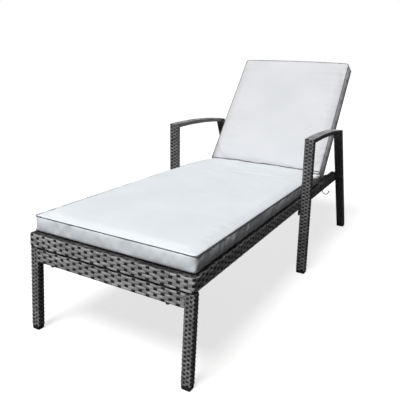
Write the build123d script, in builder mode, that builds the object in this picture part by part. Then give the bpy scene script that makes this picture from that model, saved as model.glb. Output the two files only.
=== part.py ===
from build123d import *
import os
from math import atan2, cos, degrees, hypot, radians, sin, tan

os.makedirs("parts", exist_ok=True)

# Millimetres. +Z is up, +X is the lounger's left seen from the head, +Y runs from foot to head.
# Origin: floor, midway between the foot end and the rearmost point of the rear legs.

# Bed frame
bed_width = 620.0
bed_length = 1668.0
rail_height = 50.0
rail_width = 30.0
rail_top = 350.0
foot_y = -924.0
weave = 5.0
tube_wall = 1.5
bar_size = 20.0
bar_steps = (150.0, 450.0, 750.0, 1050.0, 1335.0)
rear_rail_depth = 22.0
deck_thick = 5.0

# Front leg frame
leg_width = 33.0
leg_depth = 30.0
leg_setback = 4.0
seam = 2.0
cap_height = 14.0

# Arm frames
arm_width = 40.0
post_depth = 36.0
post_front = 960.0
post_foot = 1006.0
arm_front_z = 618.0
arm_rear_z = 600.0
arm_middle_z = 620.0
arm_depth = 20.0
arm_rear = 1520.0
rear_foot = 1853.0
rear_leg_depth = 34.0

# Reclining back, in its own plane: s runs up the back from the pivot, n stands off its face
hinge_y = 1377.0
hinge_z = 336.0
recline = 51.4
recline_steps = (0.0, 40.0, 51.4, 60.0, 68.0)
back_length = 690.0
stile_outer = 271.5
pivot_r = 4.0
bush_r = 6.0
running = 0.05

# Stay that props the back: pivot distance and stay length are equal
stay_reach = 126.0
stay_slope = 5.0
stay_bar_r = 5.0
tooth_gap = 0.5
notch_depth = 3.6

# Cushions
cushion_half = 304.0
cushion_thick = 57.7
cushion_front = 14.0
cushion_rear = 1313.0
cushion_lift = 0.3

# Cushion ties, drawn from the foot end
tie_d = 4.0
knot_r = 4.5
tie_route = (
    (304.0, 1290.0, 357.0),
    (317.0, 1290.0, 357.0),
    (314.5, 1318.0, 334.0),
    (313.5, 1345.0, 316.0),
    (314.5, 1374.0, 294.0),
    (316.0, 1412.0, 277.0),
    (317.0, 1456.0, 269.0),
    (317.0, 1484.0, 274.0),
)

bed_rear = foot_y + bed_length
half = bed_width / 2
rail_low = rail_top - rail_height
inner = half - rail_width
mid_z = rail_top - rail_height / 2
pivot = (foot_y + hinge_y, hinge_z)
back_plane = Plane(
    origin=(0, pivot[0], pivot[1]),
    x_dir=(1, 0, 0),
    z_dir=(0, -sin(radians(recline)), cos(radians(recline))),
)


def block(x, y, z, plane=Plane.XY):
    """Box between two corners given in a plane's own axes."""
    with BuildPart() as made:
        with BuildSketch(plane.offset(z[0])):
            with Locations(((x[0] + x[1]) / 2, (y[0] + y[1]) / 2)):
                Rectangle(x[1] - x[0], y[1] - y[0])
        extrude(amount=z[1] - z[0])
    return made.part


def tube_x(x, y, z, plane=Plane.XY, wall=tube_wall):
    """Rectangular tube open at both x ends."""
    with BuildPart() as made:
        add(block(x, y, z, plane))
        add(block(x, (y[0] + wall, y[1] - wall), (z[0] + wall, z[1] - wall), plane), mode=Mode.SUBTRACT)
    return made.part


def tube_y(x, y, z, plane=Plane.XY, wall=tube_wall):
    """Rectangular tube open at both y ends."""
    with BuildPart() as made:
        add(block(x, y, z, plane))
        add(block((x[0] + wall, x[1] - wall), y, (z[0] + wall, z[1] - wall), plane), mode=Mode.SUBTRACT)
    return made.part


def rod_x(x, y, z, radius):
    """Round rod along x."""
    with BuildPart() as made:
        with BuildSketch(Plane(origin=(x[0], y, z), x_dir=(0, 1, 0), z_dir=(1, 0, 0))):
            Circle(radius)
        extrude(amount=x[1] - x[0])
    return made.part


def hex_x(x, y, z, across, bore):
    """Hexagon nut along x, across its flats."""
    with BuildPart() as made:
        with BuildSketch(Plane(origin=(x[0], y, z), x_dir=(0, 1, 0), z_dir=(1, 0, 0))):
            RegularPolygon(across / 2, 6, major_radius=False)
            if bore:
                Circle(bore, mode=Mode.SUBTRACT)
        extrude(amount=x[1] - x[0])
    return made.part


def ring_x(x, y, z, outer_r, inner_r):
    """Washer or bush along x."""
    with BuildPart() as made:
        with BuildSketch(Plane(origin=(x[0], y, z), x_dir=(0, 1, 0), z_dir=(1, 0, 0))):
            Circle(outer_r)
            Circle(inner_r, mode=Mode.SUBTRACT)
        extrude(amount=x[1] - x[0])
    return made.part


def rod_z(x, y, z, radius):
    """Round rod along z."""
    with BuildPart() as made:
        with BuildSketch(Plane.XY.offset(z[0])):
            with Locations((x, y)):
                Circle(radius)
        extrude(amount=z[1] - z[0])
    return made.part


def span(side, low, high):
    """The x range of a piece, mirrored for the right-hand side."""
    return (low, high) if side == "l" else (-high, -low)


def on_back(s, n):
    """World y and z of a point given in the back's own axes."""
    c = cos(radians(recline))
    k = sin(radians(recline))
    return pivot[0] + s * c - n * k, pivot[1] + s * k + n * c


sides = ("l", "r")
rail_core_low = rail_low + weave

# ---------------------------------------------------------------- bolt and bar positions
post_rake = (post_foot - post_front) / arm_front_z


def post_face(z):
    """y of the front post's front face at height z."""
    return foot_y + post_front + post_rake * (arm_front_z - z)


arm_bolt_spots = ((post_face(mid_z) + post_depth / 2, mid_z), (foot_y + 1646.0, mid_z + 10.0))
leg_bolt_x = 220.0
leg_bolt_y = foot_y + rail_width / 2
bolt_r = 3.0
hole_r = 3.2
bar_spots = [(foot_y + step - bar_size / 2, foot_y + step + bar_size / 2) for step in bar_steps]
bar_z = (rail_top - deck_thick - bar_size, rail_top - deck_thick)
rear_rail_y = (bed_rear - weave - rear_rail_depth, bed_rear - weave)
rear_rail_z = (rail_core_low, rail_core_low + 15.0)

# ---------------------------------------------------------------- bed frame: welded core, woven sleeves
with BuildPart() as bed_core:
    with BuildSketch(Plane.XY.offset(rail_core_low)):
        with Locations((0, foot_y + bed_length / 2)):
            Rectangle(bed_width - 2 * weave, bed_length - 2 * weave)
        with Locations((0, foot_y + rail_width - weave + bed_length / 2)):
            Rectangle(2 * (inner + weave), bed_length, mode=Mode.SUBTRACT)
    extrude(amount=rail_height - 2 * weave)
bed_core_block = bed_core.part
bed_holes = [rod_x((-half - 60, half + 60), y, z, hole_r) for y, z in arm_bolt_spots]
bed_holes += [rod_z(x, leg_bolt_y, (rail_low - 60, mid_z), hole_r) for x in (-leg_bolt_x, leg_bolt_x)]

with BuildPart() as bed_frame_core:
    add(bed_core_block)
    with BuildSketch(Plane.XY.offset(rail_core_low + tube_wall)):
        with Locations((0, foot_y + bed_length / 2)):
            Rectangle(bed_width - 2 * (weave + tube_wall), bed_length - 2 * (weave + tube_wall))
        with Locations((0, foot_y + rail_width - weave - tube_wall + bed_length / 2)):
            Rectangle(2 * (inner + weave + tube_wall), bed_length, mode=Mode.SUBTRACT)
    extrude(amount=rail_height - 2 * (weave + tube_wall), mode=Mode.SUBTRACT)
    for hole in bed_holes:
        add(hole, mode=Mode.SUBTRACT)
bed_frame_core.part.label = "bed_frame_core"
export_step(bed_frame_core.part, "parts/bed_frame_core.step")

with BuildPart() as foot_rail_weave:
    add(block((-half, half), (foot_y, foot_y + rail_width), (rail_low, rail_top)))
    add(bed_core_block, mode=Mode.SUBTRACT)
    for hole in bed_holes:
        add(hole, mode=Mode.SUBTRACT)
foot_rail_weave.part.label = "foot_rail_weave"
export_step(foot_rail_weave.part, "parts/foot_rail_weave.step")

bar_blocks = [block((-inner - weave, inner + weave), y, bar_z) for y in bar_spots]
bar_blocks.append(block((-inner - weave, inner + weave), rear_rail_y, rear_rail_z))
for side in sides:
    with BuildPart() as side_rail_weave:
        add(block(span(side, inner, half), (foot_y + rail_width, bed_rear), (rail_low, rail_top)))
        add(bed_core_block, mode=Mode.SUBTRACT)
        for bar in bar_blocks:
            add(bar, mode=Mode.SUBTRACT)
        for hole in bed_holes:
            add(hole, mode=Mode.SUBTRACT)
    side_rail_weave.part.label = f"side_rail_weave_{side}"
    export_step(side_rail_weave.part, f"parts/side_rail_weave_{side}.step")

with BuildPart() as seat_cross_bars:
    for y in bar_spots:
        add(tube_x((-inner - weave, inner + weave), y, bar_z))
seat_cross_bars.part.label = "seat_cross_bars"
export_step(seat_cross_bars.part, "parts/seat_cross_bars.step")

with BuildPart() as rear_rail:
    add(tube_x((-inner - weave, inner + weave), rear_rail_y, rear_rail_z))
rear_rail.part.label = "rear_rail"
export_step(rear_rail.part, "parts/rear_rail.step")

with BuildPart() as seat_deck:
    add(block((-inner, inner), (foot_y + rail_width, pivot[0] - 27.0), (rail_top - deck_thick, rail_top)))
seat_deck.part.label = "seat_deck"
export_step(seat_deck.part, "parts/seat_deck.step")

# Pads on the rear rail that the back lands on when it is let down flat.
pad_top = pivot[1] - bar_size / 2 - 0.4
with BuildPart() as rear_rail_pads:
    for side in sides:
        x = span(side, stile_outer - bar_size, stile_outer)
        add(block(x, rear_rail_y, (rear_rail_z[1], pad_top)))
    vertical = rear_rail_pads.edges().filter_by(Axis.Z)
    fillet(vertical, 3.0)
rear_rail_pads.part.label = "rear_rail_pads"
export_step(rear_rail_pads.part, "parts/rear_rail_pads.step")

# ---------------------------------------------------------------- front leg frame under the foot rail
leg_top = rail_low - seam
leg_y = (foot_y + leg_setback, foot_y + leg_setback + leg_depth)
leg_core_y = (leg_y[0] + weave, leg_y[1] - weave)


def leg_frame_core(inset, y, low):
    """Inverted U of the leg frame, set in from its outer faces."""
    with BuildPart() as made:
        add(block((-half + inset, half - inset), y, (low, leg_top - inset)))
        rail_under = leg_top - rail_height + inset
        gap_half = half - leg_width + inset
        add(block((-gap_half, gap_half), y, (low - 1, rail_under)), mode=Mode.SUBTRACT)
    return made.part


leg_core_block = leg_frame_core(weave, leg_core_y, cap_height)
with BuildPart() as leg_frame_core_tube:
    add(leg_core_block)
    bore_y = (leg_core_y[0] + tube_wall, leg_core_y[1] - tube_wall)
    add(leg_frame_core(weave + tube_wall, bore_y, cap_height), mode=Mode.SUBTRACT)
    for hole in bed_holes:
        add(hole, mode=Mode.SUBTRACT)
leg_frame_core_tube.part.label = "leg_frame_core"
export_step(leg_frame_core_tube.part, "parts/leg_frame_core.step")

for side in sides:
    with BuildPart() as front_leg_weave:
        add(block(span(side, half - leg_width, half), leg_y, (cap_height, leg_top)))
        add(leg_core_block, mode=Mode.SUBTRACT)
    front_leg_weave.part.label = f"front_leg_weave_{side}"
    export_step(front_leg_weave.part, f"parts/front_leg_weave_{side}.step")

with BuildPart() as leg_rail_weave:
    add(block((-half + leg_width, half - leg_width), leg_y, (leg_top - rail_height, leg_top)))
    add(leg_core_block, mode=Mode.SUBTRACT)
    for hole in bed_holes:
        add(hole, mode=Mode.SUBTRACT)
leg_rail_weave.part.label = "leg_rail_weave"
export_step(leg_rail_weave.part, "parts/leg_rail_weave.step")

with BuildPart() as front_foot_caps:
    for side in sides:
        add(block(span(side, half - leg_width + 1, half - 1), (leg_y[0] + 1, leg_y[1] - 1), (0, cap_height)))
    fillet(front_foot_caps.edges().filter_by(Axis.Z), 5.0)
    fillet(front_foot_caps.faces().sort_by(Axis.Z)[0:2].edges(), 4.0)
front_foot_caps.part.label = "front_foot_caps"
export_step(front_foot_caps.part, "parts/front_foot_caps.step")

# Seam washers, bolts from below and nuts on the foot rail's lower wall.
with BuildPart() as leg_frame_washers:
    with BuildSketch(Plane.XY.offset(leg_top)):
        with Locations((-leg_bolt_x, leg_bolt_y), (leg_bolt_x, leg_bolt_y)):
            Circle(9.0)
            Circle(hole_r, mode=Mode.SUBTRACT)
    extrude(amount=seam)
leg_frame_washers.part.label = "leg_frame_washers"
export_step(leg_frame_washers.part, "parts/leg_frame_washers.step")

leg_bolt_low = leg_top - rail_height
with BuildPart() as leg_frame_bolts:
    for x in (-leg_bolt_x, leg_bolt_x):
        add(rod_z(x, leg_bolt_y, (leg_bolt_low - 4.0, leg_bolt_low), 6.0))
        add(rod_z(x, leg_bolt_y, (leg_bolt_low, rail_core_low + 12.0), bolt_r))
leg_frame_bolts.part.label = "leg_frame_bolts"
export_step(leg_frame_bolts.part, "parts/leg_frame_bolts.step")

with BuildPart() as leg_frame_nuts:
    with BuildSketch(Plane.XY.offset(rail_core_low + tube_wall)):
        with Locations((-leg_bolt_x, leg_bolt_y), (leg_bolt_x, leg_bolt_y)):
            RegularPolygon(5.0, 6, major_radius=False)
            Circle(bolt_r, mode=Mode.SUBTRACT)
    extrude(amount=5.0)
leg_frame_nuts.part.label = "leg_frame_nuts"
export_step(leg_frame_nuts.part, "parts/leg_frame_nuts.step")

# ---------------------------------------------------------------- arm frames
arm_end = foot_y + arm_rear
rake = (rear_foot - arm_rear) / arm_rear_z
rear_run = rear_leg_depth * hypot(1.0, rake)


def leg_back(z):
    """y of the rear leg's rear face at height z."""
    return arm_end + rake * (arm_rear_z - z)


def arm_band():
    """Side outline of the arched arm, squared to the rear leg's slope."""
    with BuildSketch() as made:
        with BuildLine():
            front_top = (post_face(arm_front_z), arm_front_z)
            rear_top = (arm_end, arm_rear_z)
            rear_low = (leg_back(arm_rear_z - arm_depth), arm_rear_z - arm_depth)
            front_low = (post_face(arm_front_z - arm_depth), arm_front_z - arm_depth)
            middle_y = (front_top[0] + arm_end) / 2
            ThreePointArc(front_top, (middle_y, arm_middle_z), rear_top)
            Line(rear_top, rear_low)
            ThreePointArc(rear_low, (middle_y, arm_middle_z - arm_depth), front_low)
            Line(front_low, front_top)
        make_face()
    return made.sketch


def post_band(low):
    """Side outline of the slightly raked front post, from low up into the arm."""
    high = arm_front_z - 5.0
    with BuildSketch() as made:
        with BuildLine():
            Polyline(
                (post_face(low), low),
                (post_face(low) + post_depth, low),
                (post_face(high) + post_depth, high),
                (post_face(high), high),
                close=True,
            )
        make_face()
    return made.sketch


def leg_band(low):
    """Side outline of the raked rear leg, from low up into the arm."""
    high = arm_rear_z - 5.0
    with BuildSketch() as made:
        with BuildLine():
            Polyline(
                (leg_back(low), low),
                (leg_back(high), high),
                (leg_back(high) - rear_run, high),
                (leg_back(low) - rear_run, low),
                close=True,
            )
        make_face()
    return made.sketch


def arm_core_solid(inset, low):
    """The three members joined and set in from their outer faces; its feet stop at low."""
    with BuildPart() as made:
        with BuildSketch(Plane.YZ.offset(half + inset)):
            add(arm_band())
            add(post_band(low - inset))
            add(leg_band(low - inset))
            offset(amount=-inset)
        extrude(amount=arm_width - 2 * inset)
    return made.part


def member(band):
    """A side outline carried across the arm's width."""
    with BuildPart() as made:
        with BuildSketch(Plane.YZ.offset(half)):
            add(band)
        extrude(amount=arm_width)
    return made.part


arm_core_l = arm_core_solid(weave, cap_height)
arm_bore_l = arm_core_solid(weave + tube_wall, cap_height + tube_wall)
arm_outer_l = member(arm_band())
post_outer_l = member(post_band(cap_height))
leg_outer_l = member(leg_band(cap_height))


def handed(solid, side):
    """The left-hand solid, or its mirror image for the right-hand side."""
    return solid if side == "l" else mirror(solid, about=Plane.YZ)


for side in sides:
    core_solid = handed(arm_core_l, side)
    bore_solid = handed(arm_bore_l, side)
    arm_solid = handed(arm_outer_l, side)
    post_solid = handed(post_outer_l, side)
    leg_solid = handed(leg_outer_l, side)

    with BuildPart() as arm_core:
        add(core_solid)
        add(bore_solid, mode=Mode.SUBTRACT)
        for y, z in arm_bolt_spots:
            add(rod_x(span(side, half - 1, half + arm_width / 2), y, z, hole_r), mode=Mode.SUBTRACT)
    arm_core.part.label = f"arm_core_{side}"
    export_step(arm_core.part, f"parts/arm_core_{side}.step")

    with BuildPart() as arm_top_weave:
        add(arm_solid)
        add(core_solid, mode=Mode.SUBTRACT)
    arm_top_weave.part.label = f"arm_top_weave_{side}"
    export_step(arm_top_weave.part, f"parts/arm_top_weave_{side}.step")

    with BuildPart() as arm_post_weave:
        add(post_solid)
        add(arm_solid, mode=Mode.SUBTRACT)
        add(core_solid, mode=Mode.SUBTRACT)
        add(rod_x(span(side, half - 1, half + arm_width / 2), *arm_bolt_spots[0], hole_r), mode=Mode.SUBTRACT)
    arm_post_weave.part.label = f"arm_post_weave_{side}"
    export_step(arm_post_weave.part, f"parts/arm_post_weave_{side}.step")

    with BuildPart() as rear_leg_weave:
        add(leg_solid)
        add(arm_solid, mode=Mode.SUBTRACT)
        add(core_solid, mode=Mode.SUBTRACT)
        add(rod_x(span(side, half - 1, half + arm_width / 2), *arm_bolt_spots[1], hole_r), mode=Mode.SUBTRACT)
    rear_leg_weave.part.label = f"rear_leg_weave_{side}"
    export_step(rear_leg_weave.part, f"parts/rear_leg_weave_{side}.step")

with BuildPart() as arm_foot_caps:
    for side in sides:
        x = span(side, half + 1, half + arm_width - 1)
        add(block(x, (post_face(cap_height) + 1, post_face(0) + post_depth - 1), (0, cap_height)))
        foot_y_rear = leg_back(cap_height)
        add(block(x, (foot_y_rear - rear_run + 1, foot_y_rear + 2.9), (0, cap_height)))
    fillet(arm_foot_caps.edges().filter_by(Axis.Z), 5.0)
    fillet(arm_foot_caps.faces().sort_by(Axis.Z)[0:4].edges(), 4.0)
arm_foot_caps.part.label = "arm_foot_caps"
export_step(arm_foot_caps.part, "parts/arm_foot_caps.step")

with BuildPart() as arm_bolts:
    for side in sides:
        for y, z in arm_bolt_spots:
            add(rod_x(span(side, inner - 4.0, inner), y, z, 6.0))
            add(rod_x(span(side, inner, half + weave + 12.0), y, z, bolt_r))
arm_bolts.part.label = "arm_bolts"
export_step(arm_bolts.part, "parts/arm_bolts.step")

with BuildPart() as arm_bolt_nuts:
    for side in sides:
        for y, z in arm_bolt_spots:
            nut_low = half + weave + tube_wall
            add(hex_x(span(side, nut_low, nut_low + 5.0), y, z, 10.0, bolt_r))
arm_bolt_nuts.part.label = "arm_bolt_nuts"
export_step(arm_bolt_nuts.part, "parts/arm_bolt_nuts.step")

# Gusset on each front post, below the side rail.
with BuildPart() as post_brackets:
    for side in sides:
        with BuildSketch(Plane.YZ.offset(span(side, half - 4.0, half)[0])):
            with BuildLine():
                Polyline(
                    (post_face(rail_low) + 26.0, rail_low),
                    (post_face(rail_low) - 8.0, rail_low),
                    (post_face(rail_low) - 12.0, rail_low - 12.0),
                    (post_face(rail_low) - 2.0, rail_low - 26.0),
                    (post_face(rail_low) + 26.0, rail_low - 26.0),
                    close=True,
                )
            make_face()
        extrude(amount=4.0)
post_brackets.part.label = "post_brackets"
export_step(post_brackets.part, "parts/post_brackets.step")

# ---------------------------------------------------------------- back hinge, bed side
plate_x = (inner - 4.0, inner)
stile_x = (stile_outer - bar_size, stile_outer)
for side in sides:
    with BuildPart() as hinge_plate:
        with BuildSketch(Plane.YZ.offset(span(side, *plate_x)[0])):
            with Locations((pivot[0], mid_z - 1.0)):
                RectangleRounded(56.0, rail_height - 2.0, 8.0)
            with Locations((pivot[0], pivot[1])):
                Circle(pivot_r, mode=Mode.SUBTRACT)
            with Locations((pivot[0] - 19.0, mid_z - 8.0), (pivot[0] + 19.0, mid_z - 8.0)):
                Circle(2.5, mode=Mode.SUBTRACT)
        extrude(amount=4.0)
    hinge_plate.part.label = f"hinge_plate_{side}"
    export_step(hinge_plate.part, f"parts/hinge_plate_{side}.step")

with BuildPart() as hinge_plate_rivets:
    for side in sides:
        for y in (pivot[0] - 19.0, pivot[0] + 19.0):
            add(rod_x(span(side, *plate_x), y, mid_z - 8.0, 2.5))
            add(rod_x(span(side, plate_x[0] - 1.5, plate_x[0]), y, mid_z - 8.0, 4.5))
hinge_plate_rivets.part.label = "hinge_plate_rivets"
export_step(hinge_plate_rivets.part, "parts/hinge_plate_rivets.step")

with BuildPart() as hinge_studs:
    for side in sides:
        add(rod_x(span(side, stile_x[0] - 9.0, plate_x[1]), pivot[0], pivot[1], pivot_r))
hinge_studs.part.label = "hinge_studs"
export_step(hinge_studs.part, "parts/hinge_studs.step")

with BuildPart() as hinge_washers:
    for side in sides:
        add(ring_x(span(side, stile_x[1] + 0.3, plate_x[0]), pivot[0], pivot[1], 9.0, pivot_r))
hinge_washers.part.label = "hinge_washers"
export_step(hinge_washers.part, "parts/hinge_washers.step")

with BuildPart() as hinge_nuts:
    for side in sides:
        add(hex_x(span(side, stile_x[0] - 8.3, stile_x[0] - 1.8), pivot[0], pivot[1], 13.0, pivot_r))
        add(ring_x(span(side, stile_x[0] - 1.8, stile_x[0] - 0.3), pivot[0], pivot[1], 8.0, pivot_r))
hinge_nuts.part.label = "hinge_nuts"
export_step(hinge_nuts.part, "parts/hinge_nuts.step")

# ---------------------------------------------------------------- notched racks the stay's bar sits over
slope = radians(stay_slope)
tooth_drop = (stay_bar_r + tooth_gap) / cos(slope)


def rack_line(run):
    """y and z on the line of tooth tips, at a run along it from the pivot."""
    return pivot[0] + run * cos(slope), pivot[1] - run * sin(slope) - tooth_drop


rack_runs = [2 * stay_reach * cos(radians(angle)) for angle in recline_steps]
for side in sides:
    with BuildPart() as rack:
        with BuildSketch(Plane.YZ.offset(span(side, *plate_x)[0])):
            with BuildLine():
                near = rack_line(min(rack_runs) - 18.0)
                far = rack_line(max(rack_runs) + 9.0)
                Polyline((near[0], rail_low), near, far, (far[0], rail_low), close=True)
            make_face()
            with Locations(*[rack_line(run) for run in rack_runs]):
                Circle(notch_depth, mode=Mode.SUBTRACT)
        extrude(amount=4.0)
    rack.part.label = f"rack_{side}"
    export_step(rack.part, f"parts/rack_{side}.step")

# ---------------------------------------------------------------- reclining back frame
half_bar = bar_size / 2
panel_n = (half_bar, half_bar + 4.0)
q_s = stay_reach * cos(slope)
q_n = -stay_reach * sin(slope)
q_yz = on_back(q_s, q_n)

for side in sides:
    with BuildPart() as back_stile:
        add(tube_y(span(side, *stile_x), (-14.0, back_length), (-half_bar, half_bar), back_plane))
        add(rod_x(span(side, *stile_x), pivot[0], pivot[1], bush_r), mode=Mode.SUBTRACT)
    back_stile.part.label = f"back_stile_{side}"
    export_step(back_stile.part, f"parts/back_stile_{side}.step")

with BuildPart() as hinge_bushes:
    for side in sides:
        add(ring_x(span(side, *stile_x), pivot[0], pivot[1], bush_r, pivot_r + running))
hinge_bushes.part.label = "hinge_bushes"
export_step(hinge_bushes.part, "parts/hinge_bushes.step")

back_inner = stile_outer - bar_size
for piece, low in (("back_bottom_rail", 24.0), ("back_top_rail", back_length - bar_size)):
    with BuildPart() as cross_rail:
        add(tube_x((-back_inner, back_inner), (low, low + bar_size), (-half_bar, half_bar), back_plane))
    cross_rail.part.label = piece
    export_step(cross_rail.part, f"parts/{piece}.step")

with BuildPart() as back_slats:
    for low in (195.0, 355.0, 515.0):
        add(block((-back_inner, back_inner), (low, low + 25.0), (half_bar - 6.0, half_bar), back_plane))
back_slats.part.label = "back_slats"
export_step(back_slats.part, "parts/back_slats.step")

with BuildPart() as back_panel:
    add(block((-stile_outer, stile_outer), (24.0, back_length), panel_n, back_plane))
back_panel.part.label = "back_panel"
export_step(back_panel.part, "parts/back_panel.step")

with BuildPart() as stile_plugs:
    for side in sides:
        x = span(side, *stile_x)
        add(block(x, (back_length, back_length + 4.0), (-half_bar, half_bar), back_plane))
stile_plugs.part.label = "stile_plugs"
export_step(stile_plugs.part, "parts/stile_plugs.step")

# Ears on the stiles' inner faces that carry the stay.
ear_x = (stile_x[0] - 4.0, stile_x[0])
back_up = (0, cos(radians(recline)), sin(radians(recline)))
ear_plane_l = Plane(origin=(ear_x[0], pivot[0], pivot[1]), x_dir=back_up, z_dir=(1, 0, 0))
with BuildPart() as stay_ears:
    for side in sides:
        with BuildSketch(ear_plane_l.offset(span(side, *ear_x)[0] - ear_x[0])):
            with Locations((q_s, q_n + 5.0)):
                RectangleRounded(30.0, 30.0, 8.0)
            with Locations((q_s, q_n)):
                Circle(pivot_r, mode=Mode.SUBTRACT)
        extrude(amount=4.0)
stay_ears.part.label = "stay_ears"
export_step(stay_ears.part, "parts/stay_ears.step")

stay_x = (ear_x[0] - 6.3, ear_x[0] - 2.3)
with BuildPart() as stay_studs:
    for side in sides:
        add(rod_x(span(side, stay_x[0] - 9.0, ear_x[1]), q_yz[0], q_yz[1], pivot_r))
stay_studs.part.label = "stay_studs"
export_step(stay_studs.part, "parts/stay_studs.step")

with BuildPart() as stay_washers:
    for side in sides:
        add(ring_x(span(side, stay_x[1] + 0.3, ear_x[0]), q_yz[0], q_yz[1], 8.0, pivot_r))
stay_washers.part.label = "stay_washers"
export_step(stay_washers.part, "parts/stay_washers.step")

with BuildPart() as stay_nuts:
    for side in sides:
        add(hex_x(span(side, stay_x[0] - 8.3, stay_x[0] - 1.8), q_yz[0], q_yz[1], 13.0, pivot_r))
        add(ring_x(span(side, stay_x[0] - 1.8, stay_x[0] - 0.3), q_yz[0], q_yz[1], 8.0, pivot_r))
stay_nuts.part.label = "stay_nuts"
export_step(stay_nuts.part, "parts/stay_nuts.step")

# ---------------------------------------------------------------- stay
foot_run = 2 * stay_reach * cos(radians(recline))
bar_yz = (pivot[0] + foot_run * cos(slope), pivot[1] - foot_run * sin(slope))
stay_angle = atan2(bar_yz[1] - q_yz[1], bar_yz[0] - q_yz[0])
print("stay: pivot", q_yz, "bar", bar_yz, "angle", round(degrees(stay_angle), 2))
for side in sides:
    low_x = span(side, *stay_x)[0]
    stay_plane = Plane(origin=(low_x, *q_yz), x_dir=(0, cos(stay_angle), sin(stay_angle)), z_dir=(1, 0, 0))
    with BuildPart() as stay_arm:
        with BuildSketch(stay_plane):
            with Locations((stay_reach / 2, 0)):
                SlotCenterToCenter(stay_reach, 20.0)
            Circle(pivot_r + running, mode=Mode.SUBTRACT)
            with Locations((stay_reach, 0)):
                Circle(stay_bar_r, mode=Mode.SUBTRACT)
        extrude(amount=4.0)
    stay_arm.part.label = f"stay_arm_{side}"
    export_step(stay_arm.part, f"parts/stay_arm_{side}.step")

with BuildPart() as stay_bar:
    add(rod_x((-inner + 1.0, inner - 1.0), bar_yz[0], bar_yz[1], stay_bar_r))
stay_bar.part.label = "stay_bar"
export_step(stay_bar.part, "parts/stay_bar.step")

# ---------------------------------------------------------------- cushions, simple closed solids
cushion_z = (rail_top + cushion_lift, rail_top + cushion_lift + cushion_thick)
with BuildPart() as seat_cushion:
    add(block((-cushion_half, cushion_half), (foot_y + cushion_front, foot_y + cushion_rear), cushion_z))
    fillet(seat_cushion.edges().filter_by(Axis.Z), 16.0)
    fillet(seat_cushion.faces().sort_by(Axis.Z)[-1].edges(), 7.0)
seat_cushion.part.label = "seat_cushion"
export_step(seat_cushion.part, "parts/seat_cushion.step")

cushion_n = (panel_n[1] + 0.5, panel_n[1] + 0.5 + cushion_thick)
with BuildPart() as back_cushion:
    with BuildSketch(back_plane.offset(cushion_n[0])):
        with Locations((0, (12.0 + 712.0) / 2)):
            RectangleRounded(2 * cushion_half, 700.0, 14.0)
    extrude(amount=cushion_thick)
    fillet(back_cushion.faces().sort_by(Axis(back_plane.origin, back_plane.z_dir))[-1].edges(), 7.0)
back_cushion.part.label = "back_cushion"
export_step(back_cushion.part, "parts/back_cushion.step")

# ---------------------------------------------------------------- cushion ties: straight runs joined by tangent arcs


def bend_radii(points):
    """Radius at each inner point: 0.45 of its shorter run over the tangent of half its turn."""
    radii = []
    for before, here, after in zip(points, points[1:], points[2:]):
        one = Vector(*here) - Vector(*before)
        two = Vector(*after) - Vector(*here)
        half_turn = radians(one.get_angle(two)) / 2
        radii.append(0.45 * min(one.length, two.length) / tan(half_turn))
    return radii


tie_points = [(x, foot_y + y, z) for x, y, z in tie_route]
tie_radii = bend_radii(tie_points)
print("tie radii", [round(r, 1) for r in tie_radii], "in diameters", [round(r / tie_d, 1) for r in tie_radii])
tie_start = Vector(*tie_points[1]) - Vector(*tie_points[0])
tie_last = (Vector(*tie_points[-1]) - Vector(*tie_points[-2])).normalized()
with BuildPart() as tie:
    with BuildLine():
        tie_path = FilletPolyline(*tie_points, radius=tie_radii)
    with BuildSketch(Plane(origin=tie_points[0], z_dir=tie_start)):
        Circle(tie_d / 2)
    sweep(path=tie_path)
tie_section = 3.14159 * tie_d**2 / 4
print("tie length", round(tie_path.length, 1), "volume share", tie.part.volume / (tie_path.length * tie_section))
knot_at = Vector(*tie_points[-1]) + tie_last * (knot_r - 0.6)
with BuildPart() as knot:
    with Locations(knot_at):
        Sphere(knot_r)
for side in sides:
    with BuildPart() as cushion_tie:
        add(handed(tie.part, side))
    cushion_tie.part.label = f"cushion_tie_{side}"
    export_step(cushion_tie.part, f"parts/cushion_tie_{side}.step")

    with BuildPart() as tie_knot:
        add(handed(knot.part, side))
    tie_knot.part.label = f"tie_knot_{side}"
    export_step(tie_knot.part, f"parts/tie_knot_{side}.step")
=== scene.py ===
import math

import bpy
import numpy as np
from mathutils import Matrix, Vector


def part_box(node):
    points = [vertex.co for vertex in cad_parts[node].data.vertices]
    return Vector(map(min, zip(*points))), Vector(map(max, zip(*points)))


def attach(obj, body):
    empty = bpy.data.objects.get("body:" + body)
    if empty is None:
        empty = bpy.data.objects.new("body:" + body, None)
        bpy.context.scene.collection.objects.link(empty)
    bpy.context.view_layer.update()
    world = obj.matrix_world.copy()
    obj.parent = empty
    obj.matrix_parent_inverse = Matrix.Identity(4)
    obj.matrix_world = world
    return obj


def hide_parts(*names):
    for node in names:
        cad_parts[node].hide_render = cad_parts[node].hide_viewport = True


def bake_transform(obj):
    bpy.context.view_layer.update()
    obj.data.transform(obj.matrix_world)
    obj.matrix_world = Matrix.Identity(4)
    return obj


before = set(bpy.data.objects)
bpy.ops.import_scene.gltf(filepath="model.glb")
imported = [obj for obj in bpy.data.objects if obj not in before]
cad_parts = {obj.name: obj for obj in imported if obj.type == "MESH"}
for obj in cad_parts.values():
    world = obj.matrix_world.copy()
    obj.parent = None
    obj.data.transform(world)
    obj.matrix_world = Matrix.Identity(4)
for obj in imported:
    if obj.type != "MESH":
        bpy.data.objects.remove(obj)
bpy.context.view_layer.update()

# Viewpoint: a standing eye off the foot end on the sitter's left, looking along
# the lounger and slightly down. It turns with yaw, then pitch, then a small roll.
yaw, pitch, roll = 0.5328, -0.1985, 0.0358
forward = Vector((-math.sin(yaw) * math.cos(pitch), math.cos(yaw) * math.cos(pitch), math.sin(pitch)))
level_right = Vector((math.cos(yaw), math.sin(yaw), 0.0))
level_up = level_right.cross(forward)
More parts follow.
